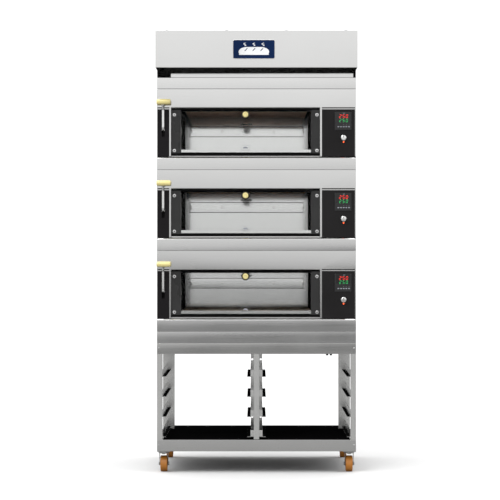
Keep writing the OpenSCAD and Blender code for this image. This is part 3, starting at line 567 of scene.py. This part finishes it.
def add_badge():
    """Navy enamel plate with a bright rim, and a plain loaf under three wisps of steam on it."""
    low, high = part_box("badge_plate")
    centre = ((low.x + high.x) / 2.0, (low.z + high.z) / 2.0)
    width, height = high.x - low.x, high.z - low.z
    radius = 9.0 * MM
    rim = 2.4 * MM

    def rim_form(form):
        add_plate(form, centre, rounded_outline(width, height, radius), high.y, low.y + 0.7 * MM, 0.9 * MM)

    def field_form(form):
        add_plate(form, centre, rounded_outline(width - 2.0 * rim, height - 2.0 * rim, radius - rim),
                  low.y + 1.0 * MM, low.y + 0.4 * MM, 0.2 * MM)

    piece = finish_piece("badge_rim", mesh_from("badge_rim", rim_form), FASTENER, ROOT)
    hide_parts("badge_plate")
    finish_piece("badge_field", mesh_from("badge_field", field_form), BADGE_BLUE, ROOT)

    def loaf_form(form):
        widen = 1.25
        loaf = [(-0.055, -0.026), (0.055, -0.026)]
        loaf += arc(0.030, 0.022, -20, 91, 10, 0.026, -0.012)
        loaf += arc(0.030, 0.022, 90, 201, 10, -0.026, -0.012)
        add_plate(form, centre, [(widen * x, z) for x, z in loaf], low.y + 0.5 * MM, low.y + 0.1 * MM)
        for offset in (-0.042, 0.0, 0.042):
            wisp = [(offset + 0.0045 * math.sin(step * 0.9), 0.015 + 0.0018 * step) for step in range(9)]
            outline = [(x - 0.0026, z) for x, z in wisp] + [(x + 0.0026, z) for x, z in reversed(wisp)]
            add_plate(form, centre, outline, low.y + 0.5 * MM, low.y + 0.1 * MM)

    def cuts_form(form):
        for offset in (-0.036, 0.0, 0.036):
            cut = [(-0.008, -0.008), (-0.003, -0.008), (0.008, 0.004), (0.003, 0.004)]
            add_plate(form, (centre[0] + offset, centre[1]), cut, low.y + 0.11 * MM, low.y + 0.05 * MM)

    finish_piece("badge_loaf", mesh_from("badge_loaf", loaf_form), BADGE_WHITE, ROOT)
    finish_piece("badge_loaf_cuts", mesh_from("badge_cuts", cuts_form), BADGE_BLUE, ROOT)


add_badge()

# ---------------------------------------------------------------- doors


def add_door_knob(level):
    low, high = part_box(level + "_door_knob")
    glass_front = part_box(level + "_door_glass")[0].y
    x, z = (low.x + high.x) / 2.0, (low.z + high.z) / 2.0
    body = level + "_door"
    knob_r = 14.0 * MM
    reach = glass_front - low.y

    def rosette_form(form):
        profile = in_mm((0.0, -6.9), (6.9, -6.9), (6.9, -4.1), (3.0, -4.0), (3.0, 0.0), (19.0, 0.0), (19.0, 1.6),
                        (18.2, 2.7), (17.0, 3.0), (7.0, 3.2), (5.0, 4.2), (5.0, 13.0), (0.0, 13.0))
        add_lathe(form, profile, facing_front(x, glass_front, z))

    def knob_form(form):
        profile = in_mm((0.0, 11.9), (9.0, 11.9))
        for step in range(17):
            turn = math.radians(-75.0 + 150.0 * step / 16)
            profile.append((knob_r - 5.0 * MM + 5.0 * MM * math.cos(turn),
                            reach - 7.0 * MM + 7.0 * MM * math.sin(turn)))
        profile += [(5.0 * MM, reach - 0.2 * MM), (3.4 * MM, reach - 0.9 * MM), (0.0, reach - 1.1 * MM)]
        add_lathe(form, profile, facing_front(x, glass_front, z))

    piece = finish_piece(level + "_knob_rosette", mesh_from("rosette", rosette_form), RUBBER_AND_GAP_SHADE, body)
    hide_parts(level + "_door_knob")
    finish_piece(level + "_knob_ball", mesh_from("knob", knob_form), PHENOLIC, body)


def add_glass_border(level):
    """The border printed on the outer pane: grey at the sides, black strips at the top and bottom."""
    low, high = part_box(level + "_door_glass")
    x0, x1 = low.x + 45.0 * MM, high.x - 40.0 * MM
    z0, z1 = low.z + 11.0 * MM, high.z - 9.0 * MM
    y0, y1 = low.y - 0.06 * MM, low.y - 0.02 * MM
    margin = 0.5 * MM

    def sides_form(form):
        for x_from, x_to in ((low.x + margin, x0), (x1, high.x - margin)):
            add_box(form, (x_from, y0, z0), (x_to, y1, z1))

    def strips_form(form):
        for z_from, z_to in ((low.z + margin, z0), (z1, high.z - margin)):
            add_box(form, (low.x + margin, y0, z_from), (high.x - margin, y1, z_to))

    body = level + "_door"
    finish_piece(level + "_glass_border", mesh_from("border", sides_form), GLASS_BORDER, body)
    finish_piece(level + "_glass_strips", mesh_from("strips", strips_form), BLACK_PRINT_AND_SEAM_SHADE, body)


def add_door_trim(level):
    """Hex sockets in the screw heads, and a plain loaf etched low on the outer pane."""
    frame_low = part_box(level + "_door_frame")[0]
    glass_low, glass_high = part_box(level + "_door_glass")

    def sockets_form(form):
        radius, depth, proud = 3.2 * MM, 0.2 * MM, 0.03 * MM
        profile = [(0.0, -depth), (radius, -depth), (radius, proud), (0.0, proud)]
        for x in (glass_low.x + 15.0 * MM, glass_high.x - 13.0 * MM):
            for z in (glass_low.z + 23.0 * MM, glass_high.z - 32.5 * MM):
                add_lathe(form, profile, facing_front(x, frame_low.y, z), 6)

    def etching_form(form):
        x, z = (glass_low.x + glass_high.x) / 2.0, glass_low.z + 37.0 * MM
        y = glass_low.y
        skin = 0.02 * MM
        outer = rounded_outline(41.0 * MM, 23.0 * MM, 3.0 * MM)
        inner = rounded_outline(39.4 * MM, 21.4 * MM, 2.4 * MM)
        rings = [[form.verts.new((x + px, y + depth, z + pz)) for px, pz in outline]
                 for outline, depth in ((outer, skin), (outer, -skin), (inner, -skin), (inner, skin))]
        for low, high in zip(rings, rings[1:] + rings[:1]):
            bridge(form, low, high)
        dome = arc(12.0 * MM, 8.0 * MM, 0, 181, 12, 0.0, -4.0 * MM)
        add_plate(form, (x, z), dome, y + skin, y - skin)

    body = level + "_door"
    finish_piece(level + "_door_screw_sockets", mesh_from("sockets", sockets_form), RUBBER_AND_GAP_SHADE, body)
    finish_piece(level + "_glass_etching", mesh_from("etching", etching_form), SYMBOL_GREY, body)


for level in LEVELS:
    add_door_knob(level)
    add_glass_border(level)
    add_door_trim(level)

# ---------------------------------------------------------------- steam levers


def add_lever(level):
    pivot = Vector(JOINTS[level + "_lever_pivot"]["pos_m"])
    low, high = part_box(level + "_steam_lever")
    grip_low, grip_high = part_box(level + "_lever_grip")
    body = level + "_lever"
    rod_r = 6.0 * MM
    lean = Vector((pivot.x, (grip_low.y + grip_high.y) / 2.0, (grip_low.z + grip_high.z) / 2.0))
    front = FRONT_Y - 8.0 * MM
    path = fillet_path([pivot, Vector((pivot.x, front, pivot.z)),
                        Vector((pivot.x, front, pivot.z + 95.0 * MM)), lean], 11.0 * MM)

    def rod_form(form):
        add_tube(form, path, rod_r)
        shaft_r = 7.2 * MM
        sheet = 1.5 * MM
        shaft_end = high.x - low.x - sheet
        add_lathe(form, [(0.0, 0.0), (shaft_r, 0.0), (shaft_r, shaft_end), (0.0, shaft_end)],
                  along_x(low.x, pivot.y, pivot.z))
        # the shutter's arm and plate
        for y0, y1, half in ((0.0, 70.0, 10.0), (48.0, 92.0, 22.0)):
            add_box(form, (high.x - sheet, pivot.y + y0 * MM, pivot.z - half * MM),
                    (high.x, pivot.y + y1 * MM, pivot.z + half * MM))

    def grip_form(form):
        length = grip_high.x - grip_low.x
        radius = (grip_high.z - grip_low.z) / 2.0
        crown = 0.6 * MM
        round_r = 3.0 * MM
        profile = in_mm((0.0, 0.6), (4.2, 0.6), (4.6, 0.0))
        profile += arc(round_r, round_r, -90, 1, 15, radius - crown - round_r, round_r)
        for step in range(1, 12):
            share = step / 12
            profile.append((radius - crown + crown * math.sin(math.pi * share),
                            round_r + share * (length - 2.0 * round_r)))
        profile += arc(round_r, round_r, 0, 91, 15, radius - crown - round_r, length - round_r)
        profile += [(4.6 * MM, length), (4.2 * MM, length - 0.6 * MM), (0.0, length - 0.6 * MM)]
        add_lathe(form, profile, along_x(grip_low.x, lean.y, lean.z))

    rod = finish_piece(level + "_lever_rod", mesh_from("lever_rod", rod_form), ROD_STEEL, body)
    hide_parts(level + "_steam_lever")
    grip = finish_piece(level + "_lever_handle", mesh_from("lever_handle", grip_form), PHENOLIC, body)
    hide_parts(level + "_lever_grip")

    def collar_form(form):
        profile = [(rod_r, 0.0), *in_mm((8.6, 0.0), (9.0, 0.5), (9.0, 4.5), (8.6, 5.0)), (rod_r, 5.0 * MM)]
        add_lathe(form, profile,
                  Matrix.Translation(path[-1]) @ (path[-1] - path[-2]).to_track_quat("Z", "Y").to_matrix().to_4x4()
                  @ Matrix.Translation((0.0, 0.0, -17.5 * MM)))

    finish_piece(level + "_lever_collar", mesh_from("lever_collar", collar_form), FASTENER, body)


for level in LEVELS:
    add_lever(level)

# ---------------------------------------------------------------- controls

# Seven segments of a digit, as (x, z, is_vertical) in units of its half height
SEGMENTS = {
    "a": (0.0, 1.0, False), "g": (0.0, 0.0, False), "d": (0.0, -1.0, False),
    "f": (-0.5, 0.5, True), "b": (0.5, 0.5, True), "e": (-0.5, -0.5, True), "c": (0.5, -0.5, True),
}
DIGITS = {"0": "abcdef", "2": "abged", "5": "afgcd"}
SET_POINT = "250"


def add_digits(form, text, centre, y, height, pitch):
    half = height / 2.0
    bar = height * 0.09
    for index, digit in enumerate(text):
        x0 = centre[0] + (index - (len(text) - 1) / 2.0) * pitch
        for name in DIGITS[digit]:
            sx, sz, upright = SEGMENTS[name]
            lean = 0.12 * sz * half
            x, z = x0 + sx * half * 1.04 + lean, centre[1] + sz * half
            wide, tall = (bar, half * 0.82) if upright else (half * 0.84, bar)
            add_box(form, (x - wide / 2.0, y - 0.25 * MM, z - tall / 2.0), (x + wide / 2.0, y, z + tall / 2.0))


def add_controls(level):
    low, high = panel_box(level)
    x = (low.x + high.x) / 2.0 + 22.0 * MM
    z = high.z - 63.0 * MM
    face = low.y - 2.0 * MM
    switch_x, switch_z = x + 2.0 * MM, z - 79.0 * MM
    lamp_z = switch_z - 19.0 * MM
    bezel_front = face - 1.3 * MM   # trim on the bezel is let in from here
    key_pitch = 12.4 * MM

    def bezel_form(form):
        add_plate(form, (x, z), rounded_outline(78.0 * MM, 83.0 * MM, 3.0 * MM), face, face - 1.4 * MM, 0.8 * MM)

    def window_form(form):
        outline = rounded_outline(66.0 * MM, 46.0 * MM, 2.0 * MM)
        add_plate(form, (x, z + 20.0 * MM), outline, bezel_front, face - 1.65 * MM, 0.15 * MM)

    def key_form(form):
        outline = rounded_outline(8.0 * MM, 5.0 * MM, 2.0 * MM)
        for index in range(5):
            centre = (x + (index - 1.8) * key_pitch, z - 27.0 * MM)
            add_plate(form, centre, outline, bezel_front, face - 2.0 * MM, 0.3 * MM)

    def symbol_form(form):
        front = face - 1.62 * MM
        for index in range(2, 5):
            key_x = x + (index - 1.8) * key_pitch
            add_box(form, (key_x - 1.6 * MM, front, z - 18.6 * MM), (key_x + 1.6 * MM, bezel_front, z - 17.6 * MM))
        add_box(form, (x - 1.0 * MM, front - 0.3 * MM, z + 35.0 * MM), (x + 9.0 * MM, bezel_front, z + 37.0 * MM))

    finish_piece(level + "_controller_bezel", mesh_from("bezel", bezel_form), PLASTIC, ROOT)
    finish_piece(level + "_controller_window", mesh_from("window", window_form), DISPLAY, ROOT)
    finish_piece(level + "_controller_keys", mesh_from("keys", key_form), SYMBOL_GREY, ROOT)
    finish_piece(level + "_controller_symbols", mesh_from("symbols", symbol_form), SYMBOL_GREY, ROOT)
    digits_y = face - 1.66 * MM

    def red_form(form):
        add_digits(form, SET_POINT, (x + 2.0 * MM, z + 22.0 * MM), digits_y, 15.0 * MM, 15.5 * MM)

    def green_form(form):
        add_digits(form, SET_POINT, (x + 2.0 * MM, z + 2.5 * MM), digits_y, 14.0 * MM, 15.5 * MM)

    finish_piece(level + "_red_digits", mesh_from("red", red_form), RED_DIGITS, ROOT)
    finish_piece(level + "_green_digits", mesh_from("green", green_form), GREEN_DIGITS, ROOT)

    def lamp_form(form):
        dome = [(0.0, 0.0), (3.4 * MM, 0.0), *arc(3.4 * MM, 1.8 * MM, 0, 90, 15, 0.0, 1.2 * MM), (0.0, 3.0 * MM)]
        add_lathe(form, dome, facing_front(switch_x, low.y - 1.5 * MM, lamp_z), 24)

    finish_piece(level + "_lamp_lens", mesh_from("lamp", lamp_form), LAMP_RED, ROOT)

    knob_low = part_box(level + "_switch_knob")[0]

    def knob_form(form):
        steps = 96
        reach = low.y - knob_low.y
        profile = in_mm((0.0, 1.0), (12.6, 1.0), (13.0, 1.6))
        profile += [(radius * MM, reach - back * MM)
                    for radius, back in ((13.0, 5.5), (12.2, 4.0), (10.5, 3.4), (9.8, 3.0), (0.0, 2.6))]
        add_lathe(form, profile, facing_front(switch_x, low.y, switch_z), steps)
        for vert in form.verts:
            out = Vector((vert.co.x - switch_x, 0.0, vert.co.z - switch_z))
            if out.length > 12.9 * MM and round(math.atan2(out.x, out.z) / (2.0 * math.pi / steps)) % 2:
                vert.co -= out.normalized() * 0.45 * MM
        spindle = in_mm((0.0, -17.9), (3.0, -17.9), (3.0, 1.2), (0.0, 1.2))
        add_lathe(form, spindle, facing_front(switch_x, low.y, switch_z), 24)

    def pointer_form(form):
        add_plate(form, (switch_x, switch_z + 5.5 * MM), rounded_outline(2.4 * MM, 10.0 * MM, 1.0 * MM),
                  knob_low.y + 4.0 * MM, knob_low.y + 0.6 * MM, 0.4 * MM)

    body = level + "_switch"
    knob = finish_piece(level + "_switch_cap", mesh_from("switch_cap", knob_form), ROD_STEEL, body, 25.0)
    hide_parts(level + "_switch_knob")
    finish_piece(level + "_switch_pointer", mesh_from("pointer", pointer_form), RUBBER_AND_GAP_SHADE, body)


for level in LEVELS:
    add_controls(level)

# ---------------------------------------------------------------- casters


def add_caster(corner):
    soften("caster_fork_" + corner, ZINC, 0.4 * MM)
    low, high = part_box("caster_wheel_" + corner)
    centre = (low + high) / 2.0
    tyre_r = (high.z - low.z) / 2.0
    half = (high.x - low.x) / 2.0
    bore = 5.05 * MM
    inner = tyre_r - 9.0 * MM   # where the tyre sits on the hub

    def tyre_form(form):
        round_r = 4.0 * MM
        profile = [(inner, -half + 2.0 * MM), (inner + 1.0 * MM, -half)]
        profile += arc(round_r, round_r, -90, 1, 15, tyre_r - round_r, -half + round_r)
        profile += arc(round_r, round_r, 0, 91, 15, tyre_r - round_r, half - round_r)
        profile += [(inner + 1.0 * MM, half), (inner, half - 2.0 * MM), (inner, -half + 2.0 * MM)]
        add_lathe(form, profile, along_x(*centre), 96)

    def hub_form(form):
        profile = [(bore, -half), (11.0 * MM, -half), (12.0 * MM, -half + 1.5 * MM), (13.0 * MM, -6.0 * MM),
                   (inner - 4.0 * MM, -6.0 * MM), (inner - 2.0 * MM, -half + 2.5 * MM), (inner, -half + 2.0 * MM),
                   (inner, half - 2.0 * MM), (inner - 2.0 * MM, half - 2.5 * MM), (inner - 4.0 * MM, 6.0 * MM),
                   (13.0 * MM, 6.0 * MM), (12.0 * MM, half - 1.5 * MM), (11.0 * MM, half), (bore, half), (bore, -half)]
        add_lathe(form, profile, along_x(*centre), 64)

    body = "wheel_" + corner
    tyre = finish_piece("tyre_" + corner, mesh_from("tyre", tyre_form), TYRE, body)
    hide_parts("caster_wheel_" + corner)
    finish_piece("hub_" + corner, mesh_from("hub", hub_form), HUB, body)


for corner in CORNERS:
    add_caster(corner)

# ---------------------------------------------------------------- floor, light and surroundings


def stage_material(name, near, far, painted_reflection_tone):
    """The floor: painted shade, soft grey near the oven fading to white far off, for camera rays; a darker painted
    tone in what the steel mirrors and in the light it bounces.
    """
    material = new_material(name, painted_reflection_tone, roughness=1.0, Specular_IOR_Level=0.0)
    tree = material.node_tree
    place = tree.nodes.new("ShaderNodeTexCoord")
    length = tree.nodes.new("ShaderNodeVectorMath")
    length.operation = "LENGTH"
    fade = tree.nodes.new("ShaderNodeMapRange")
    fade.interpolation_type = "SMOOTHSTEP"
    fade.inputs["From Min"].default_value = 1.0
    fade.inputs["From Max"].default_value = 4.0
    shade = tree.nodes.new("ShaderNodeMix")
    shade.data_type = "RGBA"
    shade.inputs["A"].default_value = (*near, 1.0)
    shade.inputs["B"].default_value = (*far, 1.0)
    path = tree.nodes.new("ShaderNodeLightPath")
    seen = tree.nodes.new("ShaderNodeMix")
    seen.data_type = "RGBA"
    seen.inputs["A"].default_value = (*painted_reflection_tone, 1.0)
    tree.links.new(place.outputs["Object"], length.inputs[0])
    tree.links.new(length.outputs["Value"], fade.inputs["Value"])
    tree.links.new(fade.outputs["Result"], shade.inputs["Factor"])
    tree.links.new(shade.outputs["Result"], seen.inputs["B"])
    tree.links.new(path.outputs["Is Camera Ray"], seen.inputs["Factor"])
    tree.links.new(seen.outputs["Result"], tree.nodes["Principled BSDF"].inputs["Base Color"])
    return material


def add_floor():
    def form_floor(form):
        bmesh.ops.create_circle(form, cap_ends=True, radius=7.0, segments=96)

    mesh = mesh_from("floor", form_floor)
    # Painted shade grey near the oven and a darker painted tone for reflections and bounce; white far off.
    mesh.materials.append(stage_material("floor", (0.82, 0.82, 0.82), (0.97, 0.97, 0.97), (0.33, 0.33, 0.33)))
    floor = bpy.data.objects.new("floor", mesh)
    bpy.context.scene.collection.objects.link(floor)


# Brightness of the surroundings by height: sine of the elevation, then strength
SKY = ((-1.0, 0.36), (-0.10, 0.36), (-0.052, 0.30), (-0.037, 0.17), (-0.024, 0.38), (-0.016, 0.76), (-0.004, 0.86),
       (0.035, 0.96), (0.07, 1.07), (0.105, 1.16), (0.5, 1.1), (1.0, 1.0))


def add_world():
    world = bpy.data.worlds.new("studio")
    bpy.context.scene.world = world
    world.use_nodes = True
    tree = world.node_tree
    tree.nodes.clear()
    place = tree.nodes.new("ShaderNodeTexCoord")
    split = tree.nodes.new("ShaderNodeSeparateXYZ")
    curve = tree.nodes.new("ShaderNodeFloatCurve")
    shift = tree.nodes.new("ShaderNodeMapRange")
    shift.inputs["From Min"].default_value = -1.0
    points = curve.mapping.curves[0].points
    brightest = max(level for height, level in SKY)
    for index, (height, level) in enumerate(SKY):
        place_x = (height + 1.0) / 2.0
        if index == 0:
            points[0].location = (place_x, level / brightest)
        elif index == len(SKY) - 1:
            points[-1].location = (place_x, level / brightest)
        else:
            points.new(place_x, level / brightest)
    for point in points:
        point.handle_type = "VECTOR"
    curve.mapping.update()
    back = tree.nodes.new("ShaderNodeBackground")
    seen = tree.nodes.new("ShaderNodeBackground")
    seen.inputs["Strength"].default_value = 1.2
    strength = tree.nodes.new("ShaderNodeMath")
    strength.operation = "MULTIPLY"
    strength.inputs[1].default_value = brightest
    path = tree.nodes.new("ShaderNodeLightPath")
    mix = tree.nodes.new("ShaderNodeMixShader")
    output = tree.nodes.new("ShaderNodeOutputWorld")
    link = tree.links.new
    link(place.outputs["Generated"], split.inputs[0])
    link(split.outputs["Z"], shift.inputs["Value"])
    link(shift.outputs["Result"], curve.inputs["Value"])
    link(curve.outputs["Value"], strength.inputs[0])
    link(strength.outputs[0], back.inputs["Strength"])
    back.inputs["Color"].default_value = (1.0, 1.0, 1.0, 1.0)
    seen.inputs["Color"].default_value = (1.0, 1.0, 1.0, 1.0)
    link(path.outputs["Is Camera Ray"], mix.inputs["Fac"])
    link(back.outputs[0], mix.inputs[1])
    link(seen.outputs[0], mix.inputs[2])
    link(mix.outputs[0], output.inputs["Surface"])


def add_area(name, place, target, size, power):
    data = bpy.data.lights.new(name, "AREA")
    data.shape = "RECTANGLE"
    data.size, data.size_y = size
    data.energy = power
    light = bpy.data.objects.new(name, data)
    light.location = place
    light.rotation_euler = (Vector(target) - Vector(place)).to_track_quat("-Z", "Y").to_euler()
    bpy.context.scene.collection.objects.link(light)


add_floor()
add_world()
add_area("key_light", (-2.2, -4.5, 5.2), (0.0, 0.0, 1.0), (3.0, 2.0), 120.0)
add_area("top_light", (0.0, 0.0, 6.0), (0.0, 0.0, 0.0), (5.0, 5.0), 160.0)
bpy.context.scene.view_settings.view_transform = "Standard"
